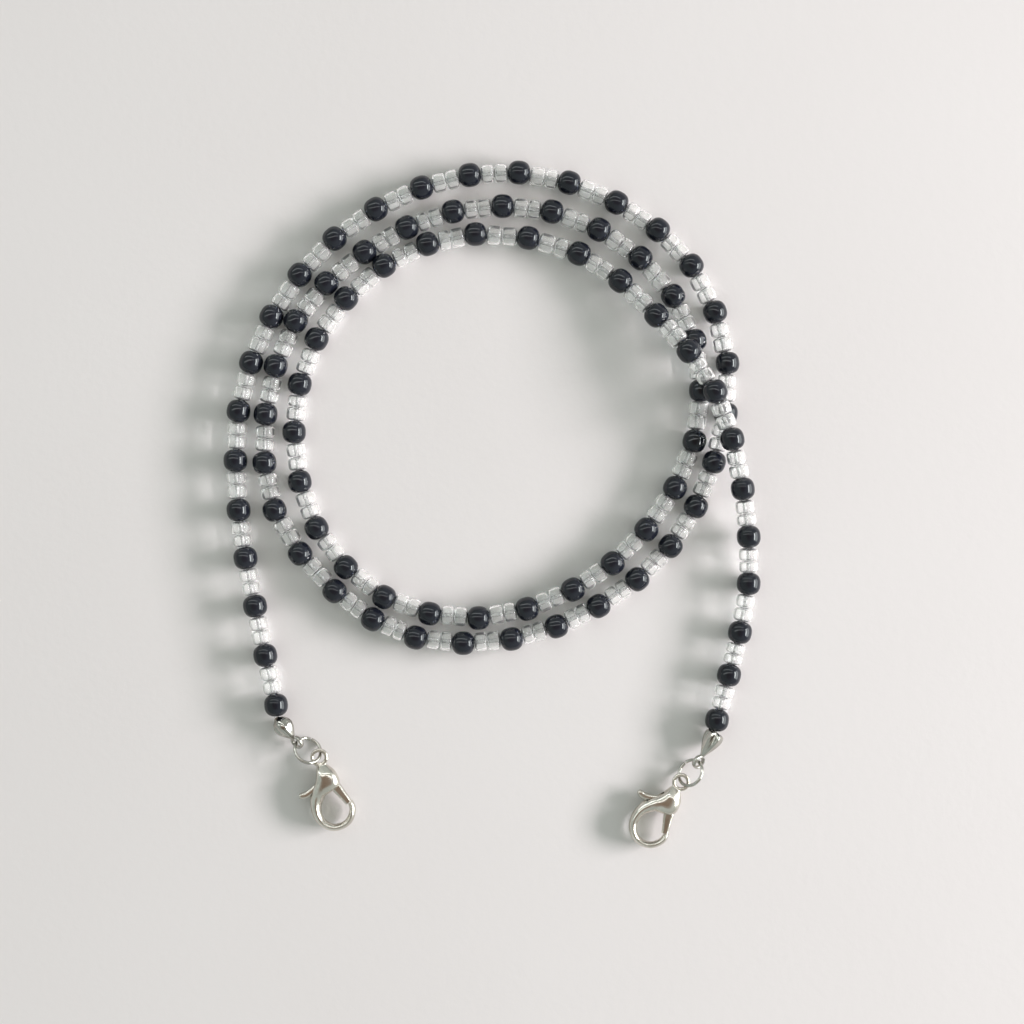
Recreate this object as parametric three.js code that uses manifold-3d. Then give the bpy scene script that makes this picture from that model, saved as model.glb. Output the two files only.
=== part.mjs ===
// Beaded eyeglass retainer strap laid out in two and a half turns on a table, with a
// lobster clasp at each end. Units are millimetres, +Z is up, the table top is Z = 0 and
// the origin is under the middle of the whole strap.
import * as THREE from 'three'
import { mergeVertices } from 'three/addons/utils/BufferGeometryUtils.js'
import Module from 'manifold-3d'

const wasm = await Module()
wasm.setup()

// ---- strand ----
const BLACK_RADIUS = 2.0
const BLACK_HALF_LENGTH = 1.85
const BLACK_SHOULDER = { at: 1.2, radius: 1.6 }
const CLEAR_RADIUS = 1.6
const CLEAR_ROUNDING = 0.4
const HOLE_END_RADIUS = 1.15
const BORE_RADIUS = 0.55
const LINE_RADIUS = 0.2
const RUN_GAP = 0.3
const BEADS_PER_RUN = 2
const SECTION_SIDES = 8

// ---- bead tip ----
const SHELL = { length: 4.4, width: 3.5, depth: 2.9, wall: 0.35, aroundLong: 12, aroundWide: 8 }
const SEAM = { width: 0.2, from: -1.0, to: 1.4 }
const LINE_HOLE = { radius: 0.45, reach: 1, sides: 10 }
const LOOP = { radius: 1.0, wire: 0.3, from: -180, to: 145, steps: 12 }
const CRIMP = { radius: 0.75, bore: 0.35, length: 1.3, sides: 10, boreSides: 8 }
const LINE_END = { inside: 0.4, outside: 0.2 }

// ---- jump ring ----
const RING = { radius: 2.25, wire: 0.28, slit: 6, from: -110, steps: 24 }
const TABLE_GAP = 0.02

// ---- lobster clasp ----
const EYE = { radius: 1.2, wire: 0.34, wireSides: 8, sides: 16 }
const SHELL_DEPTH = 3.2
const CLAW_DEPTH = 2.2
const SLOT_DEPTH = 1.4
const LEVER = { low: -0.6, high: 0.15 }
const BEVEL = { shell: 0.45, claw: 0.3, lever: 0.12 }
const PIVOT = { x: 3.9, y: 0.5 }
const PIN_RADIUS = 0.4
const PIN_INSET = 0.05
const PIN_BODY_HOLE = 0.45
const PIN_LEVER_HOLE = 0.48
const SPRING = { radius: 0.78, wire: 0.09, turns: 1.5, low: 0.3, high: 0.52, steps: 18 }

// Centre of every second black bead, x y z, from the left end round to the right end. The
// last point is the last bead. The strand climbs over its own earlier turns near the end.
const ROUTE = [
  [-35.75, -33.5, 2], [-39.25, -17, 2], [-42, -1, 2], [-42, 15.5, 2], [-36.5, 31.25, 2],
  [-26, 44.25, 2], [-11.5, 52.75, 2], [4.75, 55.25, 2], [21, 50.25, 2], [33.5, 39.75, 2],
  [39.5, 23.5, 2], [37.25, 7, 2], [30, -7, 2], [18, -17, 2], [3.5, -22.5, 2],
  [-12.5, -22.25, 2], [-26, -14.5, 2], [-36, -1, 2], [-37.5, 15, 2], [-32.5, 30.5, 2],
  [-21, 42, 2], [-6.25, 48.75, 2], [10.25, 48.75, 2], [25, 41, 2], [34, 27.25, 2],
  [34, 10.5, 2], [26, -4.25, 2], [13.75, -14.25, 2], [-2, -19, 2], [-17.75, -15.5, 2],
  [-29, -4, 2], [-32.75, 12, 2], [-29, 27.5, 2], [-17.75, 39.75, 2], [-2.5, 45, 2],
  [14.75, 41.75, 2], [27.5, 31.25, 3.9], [37, 18.5, 6], [41.75, 2.5, 4.3],
  [43, -13.25, 2.2], [39.75, -28.5, 2], [37.75, -36, 2],
]

// Middle of the strap's outline in the route's own coordinates.
const MIDDLE = { x: 0.24, y: -0.16 }

// One entry per end: clasp eye position, then headings in degrees from +X for the clasp, the
// jump ring's level way and the bead tip, the ring's tilt, and the bead tip's seam roll.
const ENDS = [
  { side: 'left', eye: [-28.6, -42.3], clasp: -78, ring: -38, tilt: 138, tip: -49, roll: 90 },
  { side: 'right', eye: [31.8, -46.4], clasp: -129, ring: -126, tilt: 47, tip: -121, roll: 0 },
]

// Clasp outlines, x from the eye towards the claw, y towards the gate.
const CLAW_OUTLINE = [
  [4.6, 0.6], [5.9, 0.8], [6.35, 0], [6.8, -0.85], [7.6, -1.4], [8.6, -1.65], [9.7, -1.55],
  [10.7, -1.15], [11.35, -0.45], [11.6, 0.3], [11.6, 1.3], [11.25, 2.1], [10.6, 2.75],
  [9.8, 3.15], [8.6, 3.08], [8.0, 3.92], [8.7, 4.2], [9.4, 4.3], [10.2, 4.15], [11.1, 3.75],
  [11.85, 3.1], [12.4, 2.1], [12.6, 1], [12.5, -0.2], [12.1, -1.1], [11.4, -1.85],
  [10.5, -2.4], [9.5, -2.75], [8.5, -2.9], [7.5, -2.8], [6.5, -2.6], [5.4, -2.2], [4.6, -1.7],
]
const SHELL_OUTLINE = [
  [1.0, 0.7], [1.8, 1.5], [2.6, 2.05], [3.8, 2.5], [4.8, 2.6], [5.4, 2.2], [5.85, 1.5],
  [6.15, 0.8], [6.35, 0], [6.9, -0.9], [7.6, -1.5], [7.5, -2.7], [6.5, -2.6], [5.6, -2.25],
  [4.6, -1.75], [3.4, -1.15], [2.2, -0.75], [1.0, -0.6],
]
const SLOT_OUTLINE = [
  [2.6, -5], [6.2, -5], [6.2, -0.8], [7, 0], [7, 5], [3.3, 5], [3.3, 1.9], [2.6, 1.3],
]
const LEVER_OUTLINE = [
  [3.0, 0.9], [3.2, -0.3], [4.1, -1.4], [4.75, -2.3], [5.15, -3.3], [5.3, -4.5],
  [6.15, -4.6], [6.4, -3.5], [5.95, -2.4], [5.35, -1.2], [5.3, -0.2], [5.6, 0.8], [6.4, 1.7],
  [8.5, 2.95], [8.05, 3.75], [5, 2.45], [3.6, 1.8],
]

const black = new THREE.MeshStandardMaterial({ color: 0x101014, roughness: 0.12, metalness: 0 })
const clear = new THREE.MeshStandardMaterial({ color: 0xe8edf0, roughness: 0.1, metalness: 0 })
const nickel = new THREE.MeshStandardMaterial({ color: 0xc9c7c2, roughness: 0.2, metalness: 1 })
const steel = new THREE.MeshStandardMaterial({ color: 0x9a9a9a, roughness: 0.35, metalness: 1 })

const group = new THREE.Group()
group.name = 'eyeglass_retainer_strap'

function add(name, geometry, material) {
  const mesh = new THREE.Mesh(geometry, material)
  mesh.name = name
  group.add(mesh)
}

// ---- solid helpers ----
const WELD_DISTANCE = 1e-4

function toManifold(geometry) {
  const bare = new THREE.BufferGeometry()
  bare.setAttribute('position', geometry.getAttribute('position').clone())
  if (geometry.index) bare.setIndex(geometry.index.clone())
  const merged = mergeVertices(bare, WELD_DISTANCE)
  return new wasm.Manifold(new wasm.Mesh({
    numProp: 3,
    vertProperties: new Float32Array(merged.getAttribute('position').array),
    triVerts: new Uint32Array(merged.index.array),
  }))
}

function fromManifold(solid) {
  const mesh = solid.getMesh()
  const geometry = new THREE.BufferGeometry()
  geometry.setAttribute('position', new THREE.BufferAttribute(mesh.vertProperties, 3))
  geometry.setIndex(new THREE.BufferAttribute(mesh.triVerts, 1))
  return geometry
}

// Skins a list of equal-sided rings. A looped skin joins its last ring to its first, and an
// open one is capped at both ends.
function skin(rings, looped) {
  const sides = rings[0].length
  const points = rings.flat()
  const faces = []
  const bands = looped ? rings.length : rings.length - 1
  for (let band = 0; band < bands; band++) {
    const here = band * sides
    const next = ((band + 1) % rings.length) * sides
    for (let k = 0; k < sides; k++) {
      const m = (k + 1) % sides
      faces.push(here + k, here + m, next + m)
      faces.push(here + k, next + m, next + k)
    }
  }
  if (!looped) {
    const last = (rings.length - 1) * sides
    for (let k = 1; k < sides - 1; k++) {
      faces.push(0, k + 1, k)
      faces.push(last, last + k, last + k + 1)
    }
  }
  const geometry = new THREE.BufferGeometry()
  geometry.setAttribute('position', new THREE.Float32BufferAttribute(
    points.flatMap((p) => [p.x, p.y, p.z]), 3))
  geometry.setIndex(faces)
  return geometry
}

// A round section of the given radius, square to the direction, its first corner upwards.
function section(centre, direction, radius, up = new THREE.Vector3(0, 0, 1)) {
  const along = direction.clone().normalize()
  const side = new THREE.Vector3().crossVectors(up, along).normalize()
  const top = new THREE.Vector3().crossVectors(along, side)
  const ring = []
  for (let k = 0; k < SECTION_SIDES; k++) {
    const angle = (2 * Math.PI * k) / SECTION_SIDES
    ring.push(centre.clone()
      .addScaledVector(top, radius * Math.cos(angle))
      .addScaledVector(side, -radius * Math.sin(angle)))
  }
  return ring
}

// Wire bent to an arc about the local Z axis, with flat ends.
function arcWire(radius, wire, fromDegrees, toDegrees, steps) {
  const rings = []
  for (let k = 0; k <= steps; k++) {
    const angle = THREE.MathUtils.degToRad(fromDegrees + ((toDegrees - fromDegrees) * k) / steps)
    const centre = new THREE.Vector3(radius * Math.cos(angle), radius * Math.sin(angle), 0)
    const along = new THREE.Vector3(-Math.sin(angle), Math.cos(angle), 0)
    rings.push(section(centre, along, wire))
  }
  return skin(rings, false)
}

function plate(outline, low, high, bevel = 0) {
  const shape = new THREE.Shape(outline.map(([x, y]) => new THREE.Vector2(x, y)))
  return new THREE.ExtrudeGeometry(shape, {
    depth: high - low - 2 * bevel,
    bevelEnabled: bevel > 0,
    bevelThickness: bevel,
    bevelSize: bevel,
    bevelOffset: -bevel,
    bevelSegments: 1,
  }).translate(0, 0, low + bevel)
}

function rod(radius, low, high, sides = 12) {
  return new THREE.CylinderGeometry(radius, radius, high - low, sides)
    .rotateX(Math.PI / 2)
    .translate(0, 0, (low + high) / 2)
}

function heading(degrees) {
  const angle = THREE.MathUtils.degToRad(degrees)
  return new THREE.Vector3(Math.cos(angle), Math.sin(angle), 0)
}

function frameAt(origin, x, y, z) {
  return new THREE.Matrix4().makeBasis(x, y, z).setPosition(origin)
}

// ---- ends: where each piece of the hardware lies ----
const UP = new THREE.Vector3(0, 0, 1)

function layOut(end) {
  const tilt = THREE.MathUtils.degToRad(end.tilt)
  const long = heading(end.ring)
  const across = heading(end.ring + 90)
  const rising = across.clone().multiplyScalar(Math.cos(tilt)).addScaledVector(UP, Math.sin(tilt))
  const ringHeight = RING.radius * Math.sin(tilt) + RING.wire + TABLE_GAP
  const claspHeight = SHELL_DEPTH / 2
  const turn = Math.asin((claspHeight - ringHeight) / (RING.radius * Math.sin(tilt)))
  const eye = new THREE.Vector3(end.eye[0] - MIDDLE.x, end.eye[1] - MIDDLE.y, claspHeight)
  const ringCentre = eye.clone()
    .addScaledVector(long, -RING.radius * Math.cos(turn))
    .addScaledVector(rising, -RING.radius * Math.sin(turn))
  const loopCentre = ringCentre.clone().addScaledVector(long, -RING.radius)
  const tip = heading(end.tip)
  const loopNormal = rising.clone().addScaledVector(tip, -rising.dot(tip)).normalize()
  const shellCentre = loopCentre.clone()
    .addScaledVector(tip, -(LOOP.radius + SHELL.length / 2 - LOOP.wire / 2))
  const clasp = heading(end.clasp)
  return {
    ring: frameAt(ringCentre, long, rising, new THREE.Vector3().crossVectors(long, rising)),
    loop: frameAt(loopCentre, tip, new THREE.Vector3().crossVectors(loopNormal, tip), loopNormal),
    shell: frameAt(shellCentre, tip, heading(end.tip + 90), UP)
      .multiply(new THREE.Matrix4().makeRotationX(THREE.MathUtils.degToRad(end.roll))),
    clasp: frameAt(eye, clasp, heading(end.clasp + 90), UP),
    shellCentre,
    tip,
  }
}

const layouts = ENDS.map(layOut)

// ---- black bead centres along the route ----
function beadCentres() {
  const points = ROUTE.map(([x, y, z]) => new THREE.Vector3(x - MIDDLE.x, y - MIDDLE.y, z))
  const curve = new THREE.CatmullRomCurve3(points, false, 'catmullrom', 0.5)
  const spans = points.length - 1
  const centres = []
  for (let span = 0; span < spans; span++) {
    centres.push(points[span])
    const hasMiddle = span < spans - 1
    if (hasMiddle) centres.push(curve.getPoint((span + 0.5) / spans))
  }
  centres.push(points[spans])
  centres.forEach((p) => { p.z = Math.max(p.z, BLACK_RADIUS) })
  return centres
}

const centres = beadCentres()
const lineEnds = layouts.map((at) => at.shellCentre.clone()
  .addScaledVector(at.tip, -(SHELL.length / 2 + LINE_END.outside)))
const knots = [lineEnds[0], ...centres, lineEnds[1]]

// A point a set distance from a knot towards the next or the previous one.
function step(knot, distance) {
  const towards = knots[distance > 0 ? knot + 1 : knot - 1]
  const along = towards.clone().sub(knots[knot]).normalize()
  return knots[knot].clone().addScaledVector(along, Math.abs(distance))
}

// ---- runs of beads: two black beads, each followed by two clear ones ----
function beadRun(first, count) {
  const outer = []
  const bore = []
  let ends = null
  for (let knot = first; knot < first + count; knot++) {
    const before = knots[knot].clone().sub(knots[knot - 1]).normalize()
    const after = knots[knot + 1].clone().sub(knots[knot]).normalize()
    const mean = before.clone().add(after).normalize()
    const { at, radius } = BLACK_SHOULDER
    if (knot === first) {
      ends = { point: step(knot, -BLACK_HALF_LENGTH), along: before }
      outer.push(section(ends.point, before, HOLE_END_RADIUS))
    }
    outer.push(section(step(knot, -at), mean, radius))
    outer.push(section(knots[knot], mean, BLACK_RADIUS))
    outer.push(section(step(knot, at), mean, radius))
    outer.push(section(step(knot, BLACK_HALF_LENGTH), after, HOLE_END_RADIUS))
    bore.push(section(knots[knot], mean, BORE_RADIUS))
    ends.last = { point: step(knot, BLACK_HALF_LENGTH), along: after }
    const isLastBead = knot === centres.length
    if (isLastBead) break
    const lastOfRun = knot === first + count - 1
    const room = knots[knot].distanceTo(knots[knot + 1]) - 2 * BLACK_HALF_LENGTH
    const length = (room - (lastOfRun ? RUN_GAP : 0)) / 2
    for (let bead = 0; bead < 2; bead++) {
      const start = BLACK_HALF_LENGTH + bead * length
      outer.push(section(step(knot, start + CLEAR_ROUNDING), after, CLEAR_RADIUS))
      outer.push(section(step(knot, start + length - CLEAR_ROUNDING), after, CLEAR_RADIUS))
      const isShared = bead === 1 && !lastOfRun
      if (!isShared) outer.push(section(step(knot, start + length), after, HOLE_END_RADIUS))
      ends.last = { point: step(knot, start + length), along: after }
    }
    if (!lastOfRun) outer.push(section(step(knot + 1, -BLACK_HALF_LENGTH), after, HOLE_END_RADIUS))
  }
  const back = [
    section(ends.last.point, ends.last.along, BORE_RADIUS),
    ...bore.reverse(),
    section(ends.point, ends.along, BORE_RADIUS),
  ]
  return skin([...outer, ...back], true)
}

let runNumber = 0
for (let first = 1; first <= centres.length; first += BEADS_PER_RUN) {
  runNumber += 1
  const name = `bead_run_${String(runNumber).padStart(2, '0')}`
  add(name, beadRun(first, Math.min(BEADS_PER_RUN, centres.length - first + 1)), black)
}

// ---- stringing line, crimped inside both bead tips ----
function stringingLine() {
  const inside = layouts.map((at) => at.shellCentre.clone().addScaledVector(at.tip, LINE_END.inside))
  const path = [inside[0], ...knots, inside[1]]
  const rings = path.map((point, k) => {
    const ahead = path[Math.min(k + 1, path.length - 1)]
    const behind = path[Math.max(k - 1, 0)]
    return section(point, ahead.clone().sub(behind), LINE_RADIUS)
  })
  return skin(rings, false)
}
add('stringing_line', stringingLine(), clear)

// ---- bead tip: a hinged shell closed over the crimp, with a loop bent at its nose ----
function ellipsoid(length, width, depth) {
  return new THREE.SphereGeometry(0.5, SHELL.aroundLong, SHELL.aroundWide)
    .scale(length, width, depth)
}

function beadTip(at) {
  const { wall } = SHELL
  const outside = toManifold(ellipsoid(SHELL.length, SHELL.width, SHELL.depth))
  const inside = toManifold(
    ellipsoid(SHELL.length - 2 * wall, SHELL.width - 2 * wall, SHELL.depth - 2 * wall))
  const seam = toManifold(new THREE.BoxGeometry(SEAM.to - SEAM.from, 2 * SHELL.width, SEAM.width)
    .translate((SEAM.from + SEAM.to) / 2, 0, 0))
  const lineHole = toManifold(
    rod(LINE_HOLE.radius, -SHELL.length, -LINE_HOLE.reach, LINE_HOLE.sides).rotateY(Math.PI / 2))
  const shell = fromManifold(outside.subtract(inside).subtract(seam).subtract(lineHole))
  const loop = arcWire(LOOP.radius, LOOP.wire, LOOP.from, LOOP.to, LOOP.steps)
  return fromManifold(
    toManifold(shell.applyMatrix4(at.shell)).add(toManifold(loop.applyMatrix4(at.loop))))
}

function crimp(at) {
  const { radius, bore, length, sides, boreSides } = CRIMP
  const tube = toManifold(rod(radius, -length / 2, length / 2, sides))
    .subtract(toManifold(rod(bore, -length, length, boreSides)))
  return fromManifold(tube).rotateY(Math.PI / 2).applyMatrix4(at.shell)
}

// ---- jump ring: one turn of wire with a hairline slit ----
function jumpRing(at) {
  const { radius, wire, slit, from, steps } = RING
  return arcWire(radius, wire, from + slit / 2, from + 360 - slit / 2, steps)
    .applyMatrix4(at.ring)
}

// ---- lobster clasp ----
function claspBody(at) {
  const eye = toManifold(new THREE.TorusGeometry(EYE.radius, EYE.wire, EYE.wireSides, EYE.sides))
  const claw = toManifold(plate(CLAW_OUTLINE, -CLAW_DEPTH / 2, CLAW_DEPTH / 2, BEVEL.claw))
  const shell = toManifold(plate(SHELL_OUTLINE, -SHELL_DEPTH / 2, SHELL_DEPTH / 2, BEVEL.shell))
  const slot = toManifold(plate(SLOT_OUTLINE, -SLOT_DEPTH / 2, SLOT_DEPTH / 2))
  const pinHole = toManifold(rod(PIN_BODY_HOLE, -SHELL_DEPTH, SHELL_DEPTH)
    .translate(PIVOT.x, PIVOT.y, 0))
  return fromManifold(eye.add(claw).add(shell).subtract(slot).subtract(pinHole))
    .applyMatrix4(at.clasp)
}

function claspLever(at) {
  const blade = toManifold(plate(LEVER_OUTLINE, LEVER.low, LEVER.high, BEVEL.lever))
  const hole = toManifold(rod(PIN_LEVER_HOLE, -SHELL_DEPTH, SHELL_DEPTH).translate(PIVOT.x, PIVOT.y, 0))
  return fromManifold(blade.subtract(hole)).applyMatrix4(at.clasp)
}

function claspPin(at) {
  const half = SHELL_DEPTH / 2 - PIN_INSET
  return rod(PIN_RADIUS, -half, half).translate(PIVOT.x, PIVOT.y, 0).applyMatrix4(at.clasp)
}

// Torsion spring coiled round the pin on the free side of the lever.
function claspSpring(at) {
  const rings = []
  for (let k = 0; k <= SPRING.steps; k++) {
    const angle = (2 * Math.PI * SPRING.turns * k) / SPRING.steps
    const height = SPRING.low + ((SPRING.high - SPRING.low) * k) / SPRING.steps
    const centre = new THREE.Vector3(
      PIVOT.x + SPRING.radius * Math.cos(angle), PIVOT.y + SPRING.radius * Math.sin(angle), height)
    rings.push(section(centre, new THREE.Vector3(-Math.sin(angle), Math.cos(angle), 0), SPRING.wire))
  }
  return skin(rings, false).applyMatrix4(at.clasp)
}

ENDS.forEach(({ side }, k) => {
  const at = layouts[k]
  add(`bead_tip_${side}`, beadTip(at), nickel)
  add(`crimp_${side}`, crimp(at), nickel)
  add(`jump_ring_${side}`, jumpRing(at), nickel)
  add(`clasp_body_${side}`, claspBody(at), nickel)
  add(`clasp_lever_${side}`, claspLever(at), nickel)
  add(`clasp_pin_${side}`, claspPin(at), steel)
  add(`clasp_spring_${side}`, claspSpring(at), steel)
})

export default group
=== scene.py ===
"""Looks for the beaded eyeglass retainer strap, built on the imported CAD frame.

Lengths in the constants are millimetres and angles are degrees, but the lamps' places are in
metres. Every mesh is made in millimetres and scaled to metres when it is placed.
"""

import math
import random

import bpy
from mathutils import Matrix, Vector


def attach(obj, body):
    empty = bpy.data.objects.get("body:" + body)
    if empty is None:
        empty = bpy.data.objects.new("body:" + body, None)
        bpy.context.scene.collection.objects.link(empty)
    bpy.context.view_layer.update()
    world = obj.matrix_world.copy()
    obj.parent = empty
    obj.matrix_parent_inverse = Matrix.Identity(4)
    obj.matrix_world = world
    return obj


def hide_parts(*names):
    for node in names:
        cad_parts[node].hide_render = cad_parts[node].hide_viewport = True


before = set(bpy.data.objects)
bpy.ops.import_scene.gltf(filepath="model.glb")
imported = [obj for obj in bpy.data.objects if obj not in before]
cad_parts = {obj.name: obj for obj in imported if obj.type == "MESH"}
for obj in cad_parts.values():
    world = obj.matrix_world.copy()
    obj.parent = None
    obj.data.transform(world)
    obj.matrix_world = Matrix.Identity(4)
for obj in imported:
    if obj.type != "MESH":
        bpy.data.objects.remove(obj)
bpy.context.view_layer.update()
rng = random.Random(82)
scene = bpy.context.scene
MM = 0.001
UP = Vector((0, 0, 1))
SHARP_DEGREES = 42

# ---- camera ----
CAMERA_HEIGHT = 300.0
VIEW_WIDTH = 170.7
VIEW_CENTRE = (3.34, -1.17)
SENSOR_MM = 36.0
BEAD_PLANE = 2.0

# ---- strand, with the route and the bead sizes of the CAD ----
MIDDLE = (0.24, -0.16)
BLACK_RADIUS = 2.0
BLACK_HALF_LENGTH = 1.85
BLACK_POWER = 2.45
BLACK_RIM = 0.16
BLACK_SIZES = (0.985, 1.0)
CLEAR_RADIUS = 1.6
CLEAR_POWERS = (3.8, 4.8)
CLEAR_RIM = 0.2
CLEAR_SIZES = (0.95, 1.03)
CLEAR_SHARES = (0.46, 0.54)
CLEAR_LEAN = 0.025
SPIN_RADIANS = (0, 6)
BEAD_GAP = 0.04
HOLE_RADIUS = 0.42
HOLE_WAIST = 0.98
LINE_DIAMETER = 0.4
LINE_REACH = 0.4
BEADS_PER_RUN = 2
# Points x, y, z of the line at every other black bead, from the left end to the right one.
ROUTE = [
    (-35.75, -33.5, 2), (-39.25, -17, 2), (-42, -1, 2), (-42, 15.5, 2), (-36.5, 31.25, 2),
    (-26, 44.25, 2), (-11.5, 52.75, 2), (4.75, 55.25, 2), (21, 50.25, 2), (33.5, 39.75, 2),
    (39.5, 23.5, 2), (37.25, 7, 2), (30, -7, 2), (18, -17, 2), (3.5, -22.5, 2),
    (-12.5, -22.25, 2), (-26, -14.5, 2), (-36, -1, 2), (-37.5, 15, 2), (-32.5, 30.5, 2),
    (-21, 42, 2), (-6.25, 48.75, 2), (10.25, 48.75, 2), (25, 41, 2), (34, 27.25, 2),
    (34, 10.5, 2), (26, -4.25, 2), (13.75, -14.25, 2), (-2, -19, 2), (-17.75, -15.5, 2),
    (-29, -4, 2), (-32.75, 12, 2), (-29, 27.5, 2), (-17.75, 39.75, 2), (-2.5, 45, 2),
    (14.75, 41.75, 2), (27.5, 31.25, 3.9), (37, 18.5, 6), (41.75, 2.5, 4.3),
    (43, -13.25, 2.2), (39.75, -28.5, 2), (37.75, -36, 2),
]

# ---- hardware, with the places and the main sizes of the CAD ----
# Eye is where the clasp's eye lies. Clasp, ring and tip are the headings of those pieces, tilt
# is how far the ring leans and roll is the turn of the bead tip about its own length. Reach,
# belly and mouth shape the bead tip: its extra length, how early it widens and its first width.
ENDS = [
    dict(side="left", eye=(-28.6, -42.3), clasp=-78, ring=-38, tilt=138, tip=-49, roll=90,
         reach=0.0, belly=0.85, mouth=0.7),
    dict(side="right", eye=(31.8, -46.4), clasp=-129, ring=-126, tilt=47, tip=-121, roll=0,
         reach=0.4, belly=0.5, mouth=0.9),
]
TIP_LENGTH = 4.4
LINE_GATE = 0.2
LOOP_RADIUS = 1.0
LOOP_WIRE = 0.3
RING_RADIUS = 2.25
RING_WIRE = 0.28
RING_CLEARANCE = 0.02
RING_SLIT_AT = -110
RING_SLIT_DEGREES = 6
EYE_RADIUS = 1.2
EYE_WIRE = 0.34
CLASP_DEPTH = 3.2
SLOT_DEPTH = 1.4
PIVOT = (3.9, 0.5)


# ---- camera and lamps ----
def basis(origin, x, y, z):
    return Matrix((
        (x.x, y.x, z.x, origin.x),
        (x.y, y.y, z.y, origin.y),
        (x.z, y.z, z.z, origin.z),
        (0, 0, 0, 1),
    ))


def add_camera():
    data = bpy.data.cameras.new("camera")
    data.sensor_width = SENSOR_MM
    data.lens = SENSOR_MM * (CAMERA_HEIGHT - BEAD_PLANE) / VIEW_WIDTH
    data.clip_start = 0.01
    data.clip_end = 20
    camera = bpy.data.objects.new("camera", data)
    camera.location = (VIEW_CENTRE[0] * MM, VIEW_CENTRE[1] * MM, CAMERA_HEIGHT * MM)
    scene.collection.objects.link(camera)
    scene.camera = camera


def add_panel(name, left, right, height, radiance, colour, lights=True, shines=True):
    """A panel facing the strap, between two points in metres and so many metres high.

    It lights dull surfaces, or is mirrored in shiny ones, or both.
    """
    left, right = Vector(left), Vector(right)
    middle = (left + right) / 2
    along = (right - left).normalized()
    away = (middle - along * middle.dot(along)).normalized()
    data = bpy.data.lights.new(name, "AREA")
    data.shape = "RECTANGLE"
    data.size, data.size_y = (right - left).length, height
    data.energy = radiance * math.pi * data.size * data.size_y
    data.color = colour
    lamp = bpy.data.objects.new(name, data)
    lamp.matrix_world = basis(middle, along, away.cross(along), away)
    lamp.visible_diffuse = lights
    lamp.visible_glossy = shines
    scene.collection.objects.link(lamp)


add_camera()
scene.view_settings.view_transform = "Standard"


# ---- material helpers ----
def node(tree, kind, **inputs):
    made = tree.nodes.new(kind)
    for name, value in inputs.items():
        made.inputs[name.replace("_", " ")].default_value = value
    return made


def new_material(name):
    material = bpy.data.materials.new(name)
    material.use_nodes = True
    tree = material.node_tree
    tree.nodes.clear()
    output = tree.nodes.new("ShaderNodeOutputMaterial")
    shader = tree.nodes.new("ShaderNodeBsdfPrincipled")
    tree.links.new(shader.outputs["BSDF"], output.inputs["Surface"])
    return material, tree, shader, output


def noise(tree, per_mm, detail=3.0, roughness=0.5):
    """Noise with so many features to the millimetre, fixed to the object."""
    where = tree.nodes.new("ShaderNodeTexCoord")
    made = node(tree, "ShaderNodeTexNoise", Scale=per_mm / MM, Detail=detail, Roughness=roughness)
    tree.links.new(where.outputs["Object"], made.inputs["Vector"])
    return made.outputs["Fac"]


def ramp(tree, factor, stops):
    made = tree.nodes.new("ShaderNodeValToRGB")
    elements = made.color_ramp.elements
    while len(elements) < len(stops):
        elements.new(0.5)
    for element, (at, colour) in zip(elements, stops):
        element.position = at
        element.color = (*colour, 1.0)
    tree.links.new(factor, made.inputs["Fac"])
    return made.outputs["Color"]


def grey(value):
    return (value, value, value)


def spread(tree, factor, low, high, from_low=0.3, from_high=0.7):
    """The factor stretched from one range to another, and held at its ends."""
    made = node(tree, "ShaderNodeMapRange")
    made.inputs["From Min"].default_value = from_low
    made.inputs["From Max"].default_value = from_high
    made.inputs["To Min"].default_value = low
    made.inputs["To Max"].default_value = high
    tree.links.new(factor, made.inputs["Value"])
    return made.outputs["Result"]


def bump(tree, shader, factor, distance, strength):
    made = node(tree, "ShaderNodeBump", Strength=strength, Distance=distance * MM)
    tree.links.new(factor, made.inputs["Height"])
    tree.links.new(made.outputs["Normal"], shader.inputs["Normal"])


def paint(tree, shader, factor, dark, light, start=0.3, stop=0.7):
    """Base colour that drifts between two tints, as the factor goes from start to stop."""
    tint = ramp(tree, factor, [(start, dark), (stop, light)])
    tree.links.new(tint, shader.inputs["Base Color"])


def roughen(tree, shader, factor, smooth, rough):
    tree.links.new(spread(tree, factor, smooth, rough), shader.inputs["Roughness"])


def transmit(shader, index, clarity):
    shader.inputs["IOR"].default_value = index
    shader.inputs["Transmission Weight"].default_value = clarity


def choose(tree, factor, first, second):
    """One look where the factor is 0 and another where it is 1."""
    mix = tree.nodes.new("ShaderNodeMixShader")
    tree.links.new(factor, mix.inputs["Fac"])
    tree.links.new(first, mix.inputs[1])
    tree.links.new(second, mix.inputs[2])
    return mix.outputs["Shader"]


def facing(tree):
    """0 where a surface is seen square on and 1 where it is seen edge on."""
    return node(tree, "ShaderNodeLayerWeight", Blend=0.5).outputs["Facing"]


# ---- materials ----
GLASS_INDEX = 1.3
BLACK_GLASS_INDEX = 1.45
NYLON_INDEX = 1.53
# Painted shade: a near-black colour put on the bore wall where it is seen edge on, standing in
# for the dark lines along the bore.
BORE_PAINTED_SHADE = (0.035, 0.035, 0.04, 1.0)
# How much of the light gets through glass, from where it is seen square on to edge on.
LENS_GAIN = [(0.0, 1.35), (0.05, 1.12), (0.14, 0.74), (0.32, 0.38), (1.0, 0.03)]


def let_light_through(tree, look, output):
    """Lamps shine through the glass, brightest through its middle as through a lens."""
    path = tree.nodes.new("ShaderNodeLightPath")
    focus = ramp(tree, facing(tree), [(at, grey(gain)) for at, gain in LENS_GAIN])
    through = tree.nodes.new("ShaderNodeBsdfTransparent")
    tree.links.new(focus, through.inputs["Color"])
    both = choose(tree, path.outputs["Is Shadow Ray"], look, through.outputs["BSDF"])
    tree.links.new(both, output.inputs["Surface"])


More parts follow.
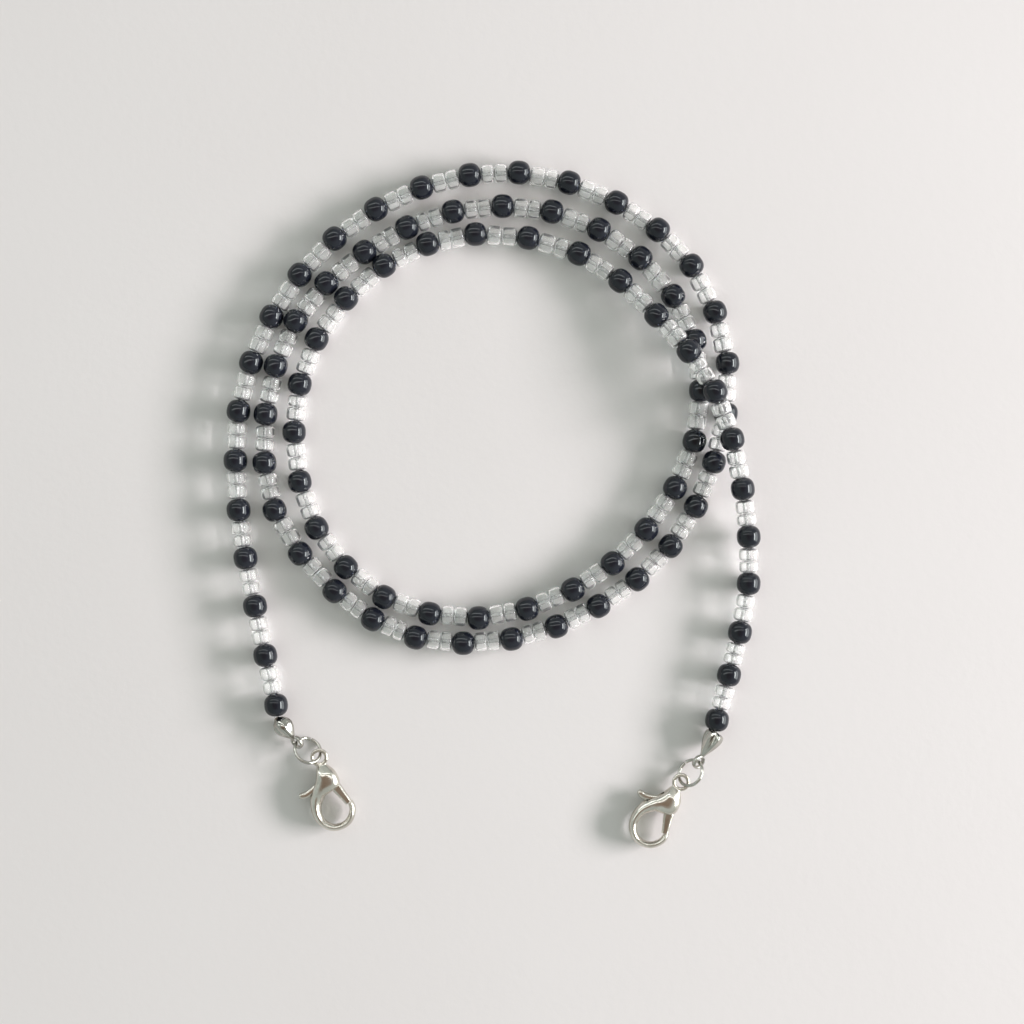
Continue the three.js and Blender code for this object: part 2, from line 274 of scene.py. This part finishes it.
def black_glass():
    material, tree, shader, _ = new_material("black_glass")
    paint(tree, shader, noise(tree, 0.12), (0.008, 0.010, 0.016), (0.012, 0.014, 0.022))
    roughen(tree, shader, noise(tree, 1.2, detail=5), smooth=0.02, rough=0.07)
    shader.inputs["IOR"].default_value = BLACK_GLASS_INDEX
    bump(tree, shader, noise(tree, 0.9, detail=2), distance=0.02, strength=0.35)
    return material


def clear_glass():
    """Glass with a little milkiness, so that it looks pale where the window lights it."""
    material, tree, shader, output = new_material("clear_glass")
    paint(tree, shader, noise(tree, 0.1), (0.93, 0.95, 0.94), (0.98, 0.98, 0.97))
    roughen(tree, shader, noise(tree, 1.5, detail=4), smooth=0.0, rough=0.07)
    transmit(shader, GLASS_INDEX, clarity=0.84)
    bump(tree, shader, noise(tree, 0.7, detail=2), distance=0.03, strength=0.6)
    let_light_through(tree, shader.outputs["BSDF"], output)
    return material


def bore_glass():
    """The rough wall of a clear bead's hole, with painted shade (near black) where it is seen
    edge on.
    """
    material, tree, shader, output = new_material("bore_glass")
    paint(tree, shader, noise(tree, 0.2), (0.42, 0.43, 0.43), (0.62, 0.63, 0.62))
    roughen(tree, shader, noise(tree, 1.5, detail=4), smooth=0.2, rough=0.35)
    transmit(shader, GLASS_INDEX, clarity=0.75)
    # Painted shade: the bore wall fades to near black as it is seen more edge on.
    edge = ramp(tree, facing(tree), [(0.28, grey(0)), (0.62, grey(1))])
    shade = node(tree, "ShaderNodeBsdfDiffuse", Color=BORE_PAINTED_SHADE)
    look = choose(tree, edge, shader.outputs["BSDF"], shade.outputs["BSDF"])
    let_light_through(tree, look, output)
    return material


def clear_line():
    material, tree, shader, output = new_material("clear_nylon")
    paint(tree, shader, noise(tree, 0.3), (0.86, 0.88, 0.87), (0.93, 0.94, 0.93))
    roughen(tree, shader, noise(tree, 2.0), smooth=0.08, rough=0.2)
    transmit(shader, NYLON_INDEX, clarity=0.9)
    let_light_through(tree, shader.outputs["BSDF"], output)
    return material


def plated(name, dark, light, smooth, rough):
    """Metal with cloudy patches of tint and shine, and a faintly uneven surface."""
    material, tree, shader, _ = new_material(name)
    paint(tree, shader, noise(tree, 0.35, detail=4), dark, light, start=0.32, stop=0.6)
    shader.inputs["Metallic"].default_value = 1.0
    roughen(tree, shader, noise(tree, 0.8, detail=6, roughness=0.65), smooth, rough)
    bump(tree, shader, noise(tree, 0.9, detail=4), distance=0.03, strength=0.5)
    return material


def table_top():
    material, tree, shader, _ = new_material("table_top")
    paint(tree, shader, noise(tree, 0.012), (0.79, 0.782, 0.775), (0.81, 0.806, 0.80))
    shader.inputs["Roughness"].default_value = 0.55
    shader.inputs["Specular IOR Level"].default_value = 0.25
    grain = noise(tree, 0.6, detail=5, roughness=0.6)
    bump(tree, shader, grain, distance=0.05, strength=0.5)
    return material


BLACK_GLASS = black_glass()
CLEAR_GLASS = clear_glass()
BORE_GLASS = bore_glass()
CLEAR_LINE = clear_line()
NICKEL = plated("nickel_plate", (0.58, 0.54, 0.48), (0.71, 0.67, 0.61), 0.15, 0.27)
DARK_NICKEL = plated("dark_nickel_plate", (0.38, 0.36, 0.33), (0.54, 0.52, 0.48), 0.08, 0.2)
STEEL = plated("spring_steel", (0.42, 0.41, 0.40), (0.55, 0.55, 0.55), 0.2, 0.35)


# ---- studio, in metres ----
FLOOR_HALF = 1.5
WALLS = [(0.0, (0.87, 0.98, 0.94)), (0.5, (0.91, 1.0, 0.96)), (1.0, (0.97, 1.0, 0.94))]
OVERHEAD = (0.45, 0.34, 0.26, 1.0)
ROOM_LIGHT = 0.58
WINDOW_TINT = (1.0, 0.91, 0.94)
LAMP_TINT = (0.95, 1.0, 1.0)


def add_floor():
    half = FLOOR_HALF
    mesh = bpy.data.meshes.new("floor")
    corners = [(-half, -half, 0), (half, -half, 0), (half, half, 0), (-half, half, 0)]
    mesh.from_pydata(corners, [], [(0, 1, 2, 3)])
    mesh.materials.append(table_top())
    floor = bpy.data.objects.new("floor", mesh)
    scene.collection.objects.link(floor)


def add_world():
    """A plain pale room with something dark and warm overhead, where the camera is held."""
    world = bpy.data.worlds.new("room")
    world.use_nodes = True
    tree = world.node_tree
    tree.nodes.clear()
    where = tree.nodes.new("ShaderNodeTexCoord")
    axes = tree.nodes.new("ShaderNodeSeparateXYZ")
    tree.links.new(where.outputs["Generated"], axes.inputs["Vector"])
    across = spread(tree, axes.outputs["X"], 0, 1, from_low=-1, from_high=1)
    walls = ramp(tree, across, WALLS)
    overhead = spread(tree, axes.outputs["Z"], 0, 1, from_low=0.80, from_high=0.95)
    mix = tree.nodes.new("ShaderNodeMix")
    mix.data_type = "RGBA"
    tree.links.new(overhead, mix.inputs["Factor"])
    tree.links.new(walls, mix.inputs["A"])
    mix.inputs["B"].default_value = OVERHEAD
    background = node(tree, "ShaderNodeBackground", Strength=ROOM_LIGHT)
    tree.links.new(mix.outputs["Result"], background.inputs["Color"])
    output = tree.nodes.new("ShaderNodeOutputWorld")
    tree.links.new(background.outputs["Background"], output.inputs["Surface"])
    scene.world = world


add_floor()
add_world()
add_panel("window", (1.20, -0.36, 0.405), (1.20, 0.38, 0.405), height=0.27, radiance=42.0,
          colour=WINDOW_TINT, shines=False)
for name, left, right, height, radiance in (
    ("window_top", (0.80, -0.36, 0.58), (0.80, 0.36, 0.58), 0.12, 26.0),
    ("window_glow", (0.95, -0.45, 0.27), (0.95, 0.45, 0.27), 0.50, 4.6),
    ("lamp_low", (-0.80, 0.51, 0.28), (0.45, 0.58, 0.66), 0.10, 3.3),
    ("lamp_high", (-0.86, 0.15, 0.48), (0.45, 0.17, 0.73), 0.08, 2.6),
):
    add_panel(name, left, right, height, radiance, LAMP_TINT, lights=False)


# ---- mesh helpers ----
SWEEP_STEPS = 5
WIRE_SIDES = 16


def heading(degrees):
    angle = math.radians(degrees)
    return Vector((math.cos(angle), math.sin(angle), 0))


def skin(rings, looped=False):
    """Vertices and faces of equal-sided rings joined in order, capped unless looped."""
    sides = len(rings[0])
    points = [tuple(p) for ring in rings for p in ring]
    bands = len(rings) if looped else len(rings) - 1
    faces = []
    for band in range(bands):
        here = band * sides
        there = (band + 1) % len(rings) * sides
        for k in range(sides):
            m = (k + 1) % sides
            faces.append((here + k, here + m, there + m, there + k))
    if not looped:
        last = (len(rings) - 1) * sides
        faces.append(tuple(range(sides - 1, -1, -1)))
        faces.append(tuple(range(last, last + sides)))
    return points, faces


def smooth_line(points, steps):
    """Catmull-Rom points through a list of equal-length tuples."""
    ends = [tuple(2 * a - b for a, b in zip(points[0], points[1]))]
    ends += list(points)
    ends.append(tuple(2 * a - b for a, b in zip(points[-1], points[-2])))
    line = []
    for k in range(1, len(ends) - 2):
        for s in range(steps):
            line.append(catmull(ends[k - 1:k + 3], s / steps))
    line.append(tuple(points[-1]))
    return line


def catmull(four, t):
    return tuple(
        0.5 * (2 * b + (c - a) * t + (2 * a - 5 * b + 4 * c - d) * t * t
               + (3 * b - a - 3 * c + d) * t ** 3)
        for a, b, c, d in zip(*four)
    )


def rounded(angle, width, depth, power):
    """A point of a rounded section: an ellipse at power 2, squarer above it."""
    c, s = math.cos(angle), math.sin(angle)
    return (
        width * math.copysign(abs(c) ** (2 / power), c),
        depth * math.copysign(abs(s) ** (2 / power), s),
    )


def sweep(stations, sides=20, power=2.0):
    """Rounded sections along a flat line; a station is x, y, half width, half depth."""
    line = smooth_line(stations, SWEEP_STEPS)
    rings = []
    for k, (x, y, width, depth) in enumerate(line):
        ahead = line[min(k + 1, len(line) - 1)]
        behind = line[max(k - 1, 0)]
        along = Vector((ahead[0] - behind[0], ahead[1] - behind[1], 0)).normalized()
        side = Vector((-along.y, along.x, 0))
        ring = []
        for j in range(sides):
            across, rise = rounded(2 * math.pi * j / sides, width, depth, power)
            ring.append(Vector((x, y, 0)) + side * across + UP * rise)
        rings.append(ring)
    return skin(rings)


def arc_wire(radius, width, depth, start, stop, steps, power=2.0):
    """Wire bent to an arc about local Z; width is radial and depth is along Z."""
    rings = []
    for k in range(steps + 1):
        angle = math.radians(start + (stop - start) * k / steps)
        out = Vector((math.cos(angle), math.sin(angle), 0))
        ring = []
        for j in range(WIRE_SIDES):
            across, rise = rounded(2 * math.pi * j / WIRE_SIDES, width, depth, power)
            ring.append(out * (radius + across) + UP * rise)
        rings.append(ring)
    return skin(rings)


def mesh_of(name, *solids):
    """One mesh of several solids, each given as its points and faces."""
    points, faces = [], []
    for solid_points, solid_faces in solids:
        start = len(points)
        points += solid_points
        faces += [tuple(k + start for k in face) for face in solid_faces]
    mesh = bpy.data.meshes.new(name)
    mesh.from_pydata(points, [], faces)
    mesh.update()
    return mesh


def scratch(mesh):
    """An object that only carries a mesh through its modifiers."""
    obj = bpy.data.objects.new(mesh.name + "_scratch", mesh)
    scene.collection.objects.link(obj)
    return obj


def settled(obj):
    """The object's mesh with its modifiers applied; the object is removed."""
    bpy.context.view_layer.update()
    graph = bpy.context.evaluated_depsgraph_get()
    mesh = bpy.data.meshes.new_from_object(obj.evaluated_get(graph))
    bpy.data.objects.remove(obj)
    return mesh


def cast_metal(mesh, voxel, rounds):
    """Melts overlapping solids into one skin with soft inside corners."""
    obj = scratch(mesh)
    remesh = obj.modifiers.new("melt", "REMESH")
    remesh.mode = "VOXEL"
    remesh.voxel_size = voxel * 1
    soften = obj.modifiers.new("soften", "SMOOTH")
    soften.factor = 0.5
    soften.iterations = rounds
    return settled(obj)


def cut(mesh, cutter):
    """The mesh without what lies inside the cutter."""
    obj, tool = scratch(mesh), scratch(cutter)
    trim = obj.modifiers.new("cut", "BOOLEAN")
    trim.operation = "DIFFERENCE"
    trim.solver = "EXACT"
    trim.object = tool
    done = settled(obj)
    bpy.data.objects.remove(tool)
    return done


def place(name, mesh, matrix, materials, body, nodes=()):
    """Puts a millimetre mesh into the frame as a finished piece that rides on a body."""
    mesh = mesh.copy()
    mesh.name = name
    mesh.transform(Matrix.Scale(MM, 4) @ matrix)
    for material in materials:
        mesh.materials.append(material)
    mesh.shade_smooth()
    mesh.set_sharp_from_angle(angle=math.radians(SHARP_DEGREES))
    obj = bpy.data.objects.new(name, mesh)
    scene.collection.objects.link(obj)
    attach(obj, body)
    if nodes:
        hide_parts(*nodes)


# ---- where the hardware lies ----
def lay_out(end):
    """Where one end's pieces lie, worked out from the clasp's eye back to the bead tip."""
    tilt = math.radians(end["tilt"])
    long_way = heading(end["ring"])
    rising = heading(end["ring"] + 90) * math.cos(tilt) + UP * math.sin(tilt)
    ring_height = RING_RADIUS * math.sin(tilt) + RING_WIRE + RING_CLEARANCE
    turn = math.asin((CLASP_DEPTH / 2 - ring_height) / (RING_RADIUS * math.sin(tilt)))
    eye = Vector((end["eye"][0] - MIDDLE[0], end["eye"][1] - MIDDLE[1], CLASP_DEPTH / 2))
    ring_centre = eye - RING_RADIUS * (math.cos(turn) * long_way + math.sin(turn) * rising)
    loop_centre = ring_centre - RING_RADIUS * long_way
    tip = heading(end["tip"])
    loop_normal = (rising - tip * rising.dot(tip)).normalized()
    tip_centre = loop_centre - tip * (LOOP_RADIUS + TIP_LENGTH / 2 - LOOP_WIRE / 2)
    tip_level = basis(tip_centre, tip, heading(end["tip"] + 90), UP)
    return dict(
        side=end["side"],
        ring=basis(ring_centre, long_way, rising, long_way.cross(rising)),
        loop=basis(loop_centre, tip, loop_normal.cross(tip), loop_normal),
        tip=tip_level @ Matrix.Rotation(math.radians(end["roll"]), 4, "X"),
        clasp=basis(eye, heading(end["clasp"]), heading(end["clasp"] + 90), UP),
        tip_centre=tip_centre,
        tip_heading=tip,
        reach=end["reach"],
        belly=end["belly"],
        mouth=end["mouth"],
    )


LAYOUTS = [lay_out(end) for end in ENDS]


def bead_centres():
    """One black bead at each route point and one midway, but none midway in the last span."""
    points = [(x - MIDDLE[0], y - MIDDLE[1], z) for x, y, z in ROUTE]
    halves = smooth_line(points, 2)
    centres = [Vector(p) for p in halves[:-2]] + [Vector(halves[-1])]
    for centre in centres:
        centre.z = max(centre.z, BLACK_RADIUS)
    return centres


def line_gate(layout):
    """Where the line goes into a bead tip."""
    return layout["tip_centre"] - layout["tip_heading"] * (TIP_LENGTH / 2 + LINE_GATE)


CENTRES = bead_centres()
KNOTS = [line_gate(LAYOUTS[0]), *CENTRES, line_gate(LAYOUTS[1])]


# ---- stringing line ----
def add_line():
    inside = [end["tip_centre"] + end["tip_heading"] * LINE_REACH for end in LAYOUTS]
    points = [inside[0], *KNOTS, inside[1]]
    curve = bpy.data.curves.new("stringing_line", "CURVE")
    curve.dimensions = "3D"
    curve.bevel_depth = LINE_DIAMETER / 2 * MM
    curve.bevel_resolution = 2
    curve.use_fill_caps = True
    spline = curve.splines.new("POLY")
    spline.points.add(len(points) - 1)
    for point, where in zip(spline.points, points):
        point.co = (*(where * MM), 1)
    curve.materials.append(CLEAR_LINE)
    line = bpy.data.objects.new("clear_stringing_line", curve)
    scene.collection.objects.link(line)
    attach(line, "strand")
    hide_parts("stringing_line")


add_line()


# ---- beads ----
def bead_mesh(name, half_length, radius, power, rim, segments, points):
    """A turned bead along local X: a rounded outside, small rims and a straight bore."""
    edge = (HOLE_RADIUS + rim) / radius
    start = math.asin(edge ** (power / 2))
    reach = half_length / math.cos(start) ** (2 / power)
    profile = []
    for k in range(points):
        angle = start + (math.pi - 2 * start) * k / (points - 1)
        profile.append(rounded(angle, reach, radius, power))
    bore = half_length - 0.5 * rim
    profile += [(-bore, HOLE_RADIUS), (0, HOLE_RADIUS * HOLE_WAIST), (bore, HOLE_RADIUS)]
    turns = [2 * math.pi * k / segments for k in range(segments)]
    rings = []
    for x, r in profile:
        rings.append([Vector((x, r * math.cos(a), r * math.sin(a))) for a in turns])
    mesh = mesh_of(name, skin(rings, looped=True))
    first_bore_band = points - 1
    for face in mesh.polygons:
        face.material_index = int(face.index >= first_bore_band * segments)
    return mesh


def along_basis(origin, along, spin):
    """Local X along the line, turned about it by so many radians."""
    side = UP.cross(along).normalized()
    return basis(origin, along, side, along.cross(side)) @ Matrix.Rotation(spin, 4, "X")


def add_black_bead(k):
    """The first black bead of each CAD run stands for the whole run."""
    before = (KNOTS[k + 1] - KNOTS[k]).normalized()
    after = (KNOTS[k + 2] - KNOTS[k + 1]).normalized()
    radius = BLACK_RADIUS * rng.uniform(*BLACK_SIZES)
    mesh = bead_mesh("black", BLACK_HALF_LENGTH, radius, BLACK_POWER, BLACK_RIM,
                     segments=40, points=21)
    spin = rng.uniform(*SPIN_RADIANS)
    matrix = along_basis(KNOTS[k + 1], (before + after).normalized(), spin)
    run, rest = divmod(k, BEADS_PER_RUN)
    nodes = [] if rest else [f"bead_run_{run + 1:02d}"]
    place(f"black_bead_{k + 1:02d}", mesh, matrix, [BLACK_GLASS, BLACK_GLASS], "strand",
          nodes)


def add_clear_pair(k):
    """Two clear beads that fill the room after a black bead, each a little askew."""
    start, stop = KNOTS[k + 1], KNOTS[k + 2]
    along = (stop - start).normalized()
    room = (stop - start).length - 2 * BLACK_HALF_LENGTH - 3 * BEAD_GAP
    first = room * rng.uniform(*CLEAR_SHARES)
    filled = BLACK_HALF_LENGTH + BEAD_GAP
    for letter, length in (("a", first), ("b", room - first)):
        radius = CLEAR_RADIUS * rng.uniform(*CLEAR_SIZES)
        power = rng.uniform(*CLEAR_POWERS)
        mesh = bead_mesh("clear", length / 2, radius, power, CLEAR_RIM, segments=32, points=17)
        centre = start + along * (filled + length / 2)
        lean = Vector([rng.uniform(-1, 1) for _ in range(3)]) * CLEAR_LEAN
        spin = rng.uniform(*SPIN_RADIANS)
        matrix = along_basis(centre, (along + lean).normalized(), spin)
        place(f"clear_bead_{k + 1:02d}{letter}", mesh, matrix, [CLEAR_GLASS, BORE_GLASS],
              "strand")
        filled += length + BEAD_GAP


for number in range(len(CENTRES)):
    add_black_bead(number)
for number in range(len(CENTRES) - 1):
    add_clear_pair(number)


# ---- bead tips ----
TIP_HALF_WIDTH = 1.55
TIP_HALF_DEPTH = 1.4
TIP_WALL = 0.2
SEAM_HALF = 0.04
CUP_STEPS = 30
CUP_STEP_POWER = 1.3
PEAR_START, PEAR_SPAN = 0.10, 0.84
MOUTH_FLARE = 3
FLUTES, FLUTE_DEPTH = 6, 0.26
LIP_POWER, LIP_WIDTH = 14, 0.07
DOME_POWER = 0.8
HINGE_HALF_WIDTH = 0.5
NOSE_STATIONS = [(1.7, 0, 0.42, 0.3), (2.1, 0, 0.38, 0.3), (2.35, 0, 0.34, 0.28)]
CRIMP_STATIONS = [
    (-0.65, 0, 0.66, 0.66), (-0.25, 0, 0.74, 0.6), (0, 0, 0.75, 0.45), (0.25, 0, 0.74, 0.6),
    (0.65, 0, 0.66, 0.66),
]
LOOP_HALF_WIDTH = 0.24
LOOP_HALF_DEPTH = 0.36


def cup(upper, layout):
    """Half of the pear-shaped shell, widest near the beads, fluted, with a lip at the seam."""
    back, length = -TIP_LENGTH / 2 - layout["reach"], TIP_LENGTH + layout["reach"]
    points = []
    for i in range(CUP_STEPS + 1):
        u = (i / CUP_STEPS) ** CUP_STEP_POWER
        pear = math.sin(math.pi * (PEAR_START + PEAR_SPAN * u) ** layout["belly"])
        fullness = pear * min(1, layout["mouth"] + MOUTH_FLARE * u)
        for j in range(CUP_STEPS + 1):
            v = math.pi * j / CUP_STEPS
            flute = 1 + FLUTE_DEPTH * math.cos(FLUTES * v) * math.sin(v) * fullness ** 2
            lip = 1 + LIP_WIDTH * abs(math.cos(v)) ** LIP_POWER
            y = -TIP_HALF_WIDTH * fullness * lip * math.cos(v)
            dome = fullness * math.sin(v) ** DOME_POWER * flute
            z = SEAM_HALF + (TIP_HALF_DEPTH - SEAM_HALF) * dome
            points.append((back + length * u, y, z if upper else -z))
    row = CUP_STEPS + 1
    faces = []
    for i in range(CUP_STEPS):
        for j in range(CUP_STEPS):
            a = i * row + j
            quad = (a, a + 1, a + row + 1, a + row)
            faces.append(quad[::-1] if upper else quad)
    obj = scratch(mesh_of("cup", (points, faces)))
    wall = obj.modifiers.new("wall", "SOLIDIFY")
    wall.thickness = TIP_WALL
    wall.offset = -1
    return settled(obj)


def joined(name, *meshes):
    """One mesh of several meshes."""
    solids = []
    for mesh in meshes:
        points = [tuple(v.co) for v in mesh.vertices]
        solids.append((points, [tuple(p.vertices) for p in mesh.polygons]))
    return mesh_of(name, *solids)


def hinge_mesh(layout):
    """The rolled edge that joins the two cups, at the end where the line goes in."""
    back = -TIP_LENGTH / 2 - layout["reach"]
    stations = [(back, -HINGE_HALF_WIDTH, 0.1, 0.34), (back - 0.05, 0, 0.1, 0.36),
                (back, HINGE_HALF_WIDTH, 0.1, 0.34)]
    return mesh_of("hinge", sweep(stations, sides=12))


def add_bead_tip(layout):
    side = layout["side"]
    nose = mesh_of("nose", sweep(NOSE_STATIONS, sides=12))
    shell = joined("shell", cup(True, layout), cup(False, layout), hinge_mesh(layout), nose)
    shell.transform(layout["tip"])
    loop = mesh_of("loop", arc_wire(LOOP_RADIUS, LOOP_HALF_WIDTH, LOOP_HALF_DEPTH,
                                    start=-186, stop=140, steps=40, power=2.6))
    loop.transform(layout["loop"])
    place(f"bead_tip_{side}_shell", joined("tip", shell, loop), Matrix.Identity(4),
          [DARK_NICKEL], "strand", [f"bead_tip_{side}"])
    crimp = mesh_of("crimp", sweep(CRIMP_STATIONS))
    place(f"crimp_bead_{side}", crimp, layout["tip"], [DARK_NICKEL], "strand",
          [f"crimp_{side}"])


# ---- jump rings ----
def add_jump_ring(layout):
    side = layout["side"]
    half = RING_SLIT_DEGREES / 2
    start, stop = RING_SLIT_AT + half, RING_SLIT_AT + 360 - half
    wire = arc_wire(RING_RADIUS, RING_WIRE, RING_WIRE, start, stop, steps=96)
    place(f"jump_ring_{side}_wire", mesh_of("ring", wire), layout["ring"], [DARK_NICKEL],
          f"ring_{side}", [f"jump_ring_{side}"])


# ---- lobster clasps: local X runs from the eye to the claw, and the thumb tab is at -Y ----
CLAW_STATIONS = [
    (4.2, 0.2, 0.5, 0.8), (5.0, -0.55, 0.95, 1.1), (5.8, -1.25, 1.2, 1.28),
    (6.7, -1.85, 1.15, 1.25), (7.6, -2.18, 0.98, 1.18), (8.5, -2.3, 0.88, 1.12),
    (9.5, -2.2, 0.8, 1.06), (10.5, -1.83, 0.73, 1.02), (11.4, -1.05, 0.67, 0.98),
    (11.92, -0.05, 0.63, 0.95), (12.0, 0.95, 0.6, 0.93), (11.77, 1.95, 0.58, 0.92),
    (11.2, 2.8, 0.58, 0.9), (10.3, 3.42, 0.56, 0.88), (9.4, 3.7, 0.55, 0.84),
    (8.6, 3.62, 0.5, 0.76), (7.8, 3.42, 0.38, 0.62),
]
SHELL_OUTLINE = [
    (1.2, 0.45), (1.4, 1.05), (1.9, 1.52), (2.6, 2.05), (3.7, 2.45), (4.7, 2.5), (5.4, 2.1),
    (5.85, 1.45), (6.15, 0.75), (6.45, -0.1), (6.95, -0.95), (7.5, -1.5), (7.4, -2.75),
    (6.3, -2.65), (5.3, -2.3), (4.3, -1.75), (3.2, -1.25), (2.2, -1.0), (1.45, -0.8),
    (1.2, -0.4),
]
SHELL_CENTRE = (4.2, 0.2)
SHELL_TOP = 1.6
SHELL_POWER = 2.5
SHELL_LAYERS = 12
SHELL_END_SIZE = 0.02
SHELL_EYE_LEAN = 0.12
SHELL_LEAN = 0.32
SHELL_TAIL_AT, SHELL_TAIL_LEAN = 5, 0.05
EYE_EXTRA_WIDTH, EYE_EXTRA_DEPTH = 0.01, 0.03
GATE_STATIONS = [
    (3.9, 0.5, 0.95, 0.55), (4.6, 1.22, 0.9, 0.55), (5.4, 1.72, 0.86, 0.56),
    (6.3, 2.18, 0.77, 0.56), (7.2, 2.66, 0.68, 0.56), (8.2, 3.18, 0.58, 0.54),
    (9.0, 3.58, 0.56, 0.54),
]
TAB_STATIONS = [
    (3.9, 0.5, 0.9, 0.55), (4.35, -0.7, 0.7, 0.55), (4.95, -1.8, 0.58, 0.58),
    (5.4, -2.7, 0.56, 0.64), (5.68, -3.5, 0.58, 0.70), (5.66, -4.2, 0.50, 0.76),
    (5.6, -4.6, 0.36, 0.66),
]
GATE_REACH = 5.24
TIP_GAP = 0.08
FAN_ANGLES = [math.radians(20 + 2.5 * k) for k in range(13)]
FAN_INSIDE, FAN_OUTSIDE = 4.2, 8.0
LEVER_DROP = 0.08
SLOT_OUTLINE = [(3.1, -5), (6.0, -5), (6.0, -0.9), (7, -0.1), (7, 5), (4.8, 5),
                (4.8, 2.42), (3.9, 2.05), (3.1, 1.6)]
SPRING_RADIUS = 0.78
SPRING_WIRE = 0.09
SPRING_TURNS = 1.5
SPRING_LOW, SPRING_RISE = 0.3, 0.22
PIN_PROFILE = [(-1.3, 0.3), (-1.2, 0.4), (1.2, 0.4), (1.3, 0.3)]


def plate(outline, half_depth):
    """A flat plate of an outline, level with the clasp's middle."""
    return skin([[(x, y, -half_depth) for x, y in outline],
                 [(x, y, half_depth) for x, y in outline]])


def shell_mesh():
    """The pear-shaped middle of the clasp, domed over its outline and lower at the eye."""
    around = smooth_line(SHELL_OUTLINE + SHELL_OUTLINE[:1], 4)[:0:-1]
    layers = range(-SHELL_LAYERS, SHELL_LAYERS + 1)
    rings = []
    for h in [math.sin(math.pi / 2 * k / SHELL_LAYERS) for k in layers]:
        size = max(SHELL_END_SIZE, (1 - abs(h) ** SHELL_POWER) ** (1 / SHELL_POWER))
        ring = []
        for x, y in around:
            x = SHELL_CENTRE[0] + (x - SHELL_CENTRE[0]) * size
            y = SHELL_CENTRE[1] + (y - SHELL_CENTRE[1]) * size
            lean = min(1, SHELL_EYE_LEAN + SHELL_LEAN * x)
            lean -= SHELL_TAIL_LEAN * max(0, x - SHELL_TAIL_AT)
            ring.append((x, y, SHELL_TOP * h * lean))
        rings.append(ring)
    return skin(rings)


def from_pivot(radius, angle):
    return PIVOT[0] + radius * math.cos(angle), PIVOT[1] + radius * math.sin(angle)


def fan(inside, outside):
    """A thick sector about the pivot, used to cut the gate and the claw's tip to meet."""
    near = [from_pivot(inside, angle) for angle in FAN_ANGLES]
    far = [from_pivot(outside, angle) for angle in FAN_ANGLES]
    return plate(far + near[::-1], CLASP_DEPTH / 2)


def clasp_body_mesh():
    """Eye, shell and claw melted into one, with the lever's slot and the gap at the tip cut."""
    eye = arc_wire(EYE_RADIUS, EYE_WIRE + EYE_EXTRA_WIDTH, EYE_WIRE + EYE_EXTRA_DEPTH,
                   start=0, stop=360, steps=48)
    claw = sweep(CLAW_STATIONS, sides=28, power=1.75)
    body = cast_metal(mesh_of("clasp", eye, shell_mesh(), claw), voxel=0.07, rounds=20)
    body = cut(body, mesh_of("slot", plate(SLOT_OUTLINE, SLOT_DEPTH / 2)))
    return cut(body, mesh_of("tip_gap", fan(FAN_INSIDE, GATE_REACH + TIP_GAP)))


def clasp_lever_mesh():
    """Gate and thumb tab melted into one, with the gate's end cut about the pivot."""
    gate = sweep(GATE_STATIONS, sides=24, power=3.2)
    tab = sweep(TAB_STATIONS, sides=24, power=3.0)
    lever = cast_metal(mesh_of("lever", gate, tab), voxel=0.05, rounds=4)
    lever = cut(lever, mesh_of("beyond_gate", fan(GATE_REACH, FAN_OUTSIDE)))
    lever.transform(Matrix.Translation((0, 0, -LEVER_DROP)))
    return lever


def spring_mesh():
    steps, sides = 60, 10
    rings = []
    for k in range(steps + 1):
        angle = 2 * math.pi * SPRING_TURNS * k / steps
        centre = Vector((*from_pivot(SPRING_RADIUS, angle), SPRING_LOW + SPRING_RISE * k / steps))
        out = Vector((math.cos(angle), math.sin(angle), 0))
        turns = [2 * math.pi * j / sides for j in range(sides)]
        rings.append([centre + (out * math.cos(a) + UP * math.sin(a)) * SPRING_WIRE
                      for a in turns])
    return mesh_of("spring", skin(rings))


def pin_mesh():
    turns = [2 * math.pi * j / 24 for j in range(24)]
    rings = [[(*from_pivot(radius, a), z) for a in turns] for z, radius in PIN_PROFILE]
    return mesh_of("pin", skin(rings))


BODY_MESH = clasp_body_mesh()
LEVER_MESH = clasp_lever_mesh()
SPRING_MESH = spring_mesh()
PIN_MESH = pin_mesh()


def add_clasp(layout):
    side = layout["side"]
    for name, mesh, material, body, slot in (
        ("clasp_body", BODY_MESH, NICKEL, "clasp", "plated_metal"),
        ("clasp_lever", LEVER_MESH, NICKEL, "lever", "plated_metal"),
        ("clasp_pin", PIN_MESH, STEEL, "clasp", "spring_steel"),
        ("clasp_spring", SPRING_MESH, STEEL, "clasp", "spring_steel"),
    ):
        place(f"lobster_{name}_{side}", mesh, layout["clasp"], [material], f"{body}_{side}",
              [f"{name}_{side}"])


for layout in LAYOUTS:
    add_bead_tip(layout)
    add_jump_ring(layout)
    add_clasp(layout)
